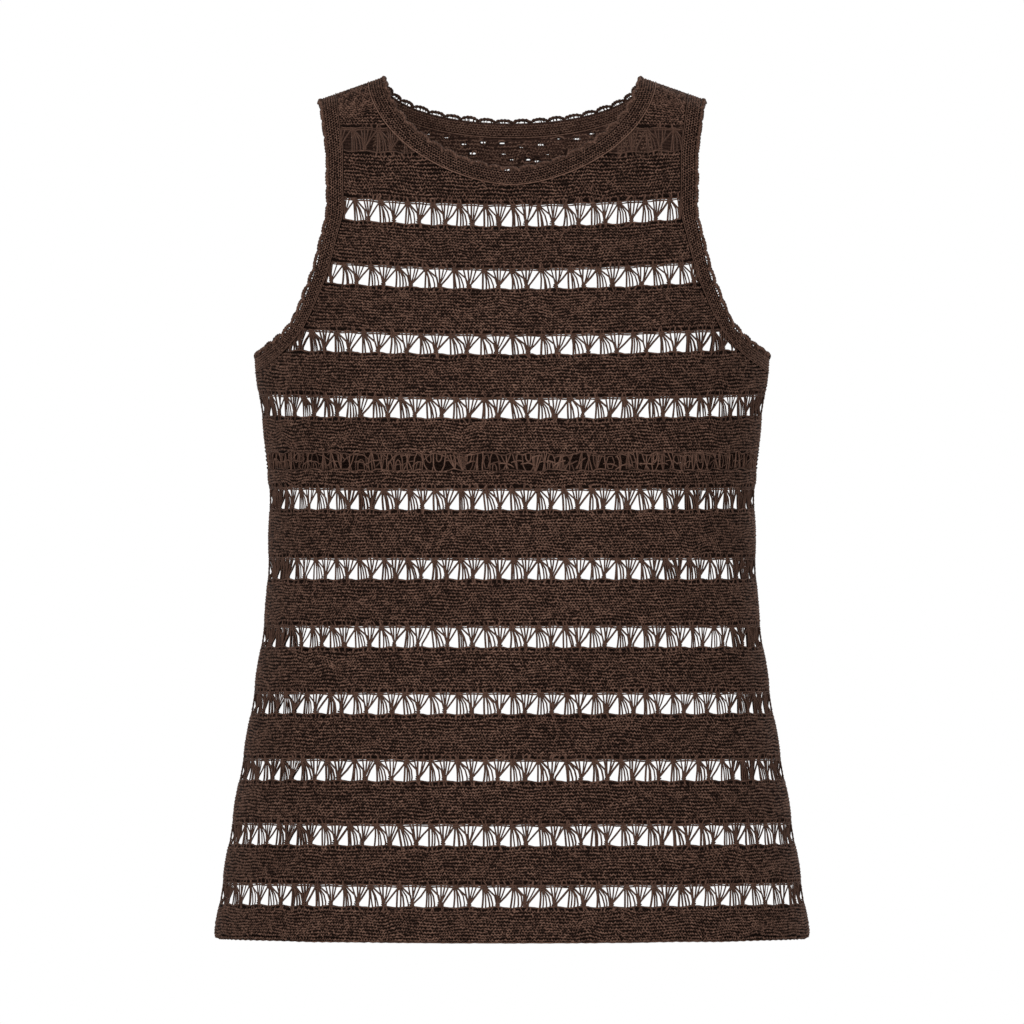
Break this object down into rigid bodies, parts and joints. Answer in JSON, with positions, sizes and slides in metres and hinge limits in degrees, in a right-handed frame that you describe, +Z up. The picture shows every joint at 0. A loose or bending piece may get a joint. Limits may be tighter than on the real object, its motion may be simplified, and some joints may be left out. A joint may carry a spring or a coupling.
{
  "type": "knit tank top",
  "caption": "Sleeveless openwork knit top in its worn shape, hollow and open at neck, armholes and hem, with fan lace rows between plain bands and scalloped edgings",
  "frame": {"origin": "midway between the shoulders that carry the top, at the height of the shoulder line's neck end", "axes": "+Z up along the body, -Y the way the front faces, +X to the wearer's left"},
  "size_m": [0.3914, 0.2263, 0.5681],
  "materials": {
    "yarn": "matte knitted yarn, dark brown"
  },
  "bodies": {
    "root": {"front": "yarn", "back": "yarn", "neckband": "yarn", "neck_edging": "yarn", "armhole_band_left": "yarn", "armhole_band_right": "yarn", "armhole_edging_left": "yarn", "armhole_edging_right": "yarn"}
  },
  "joints": []
}
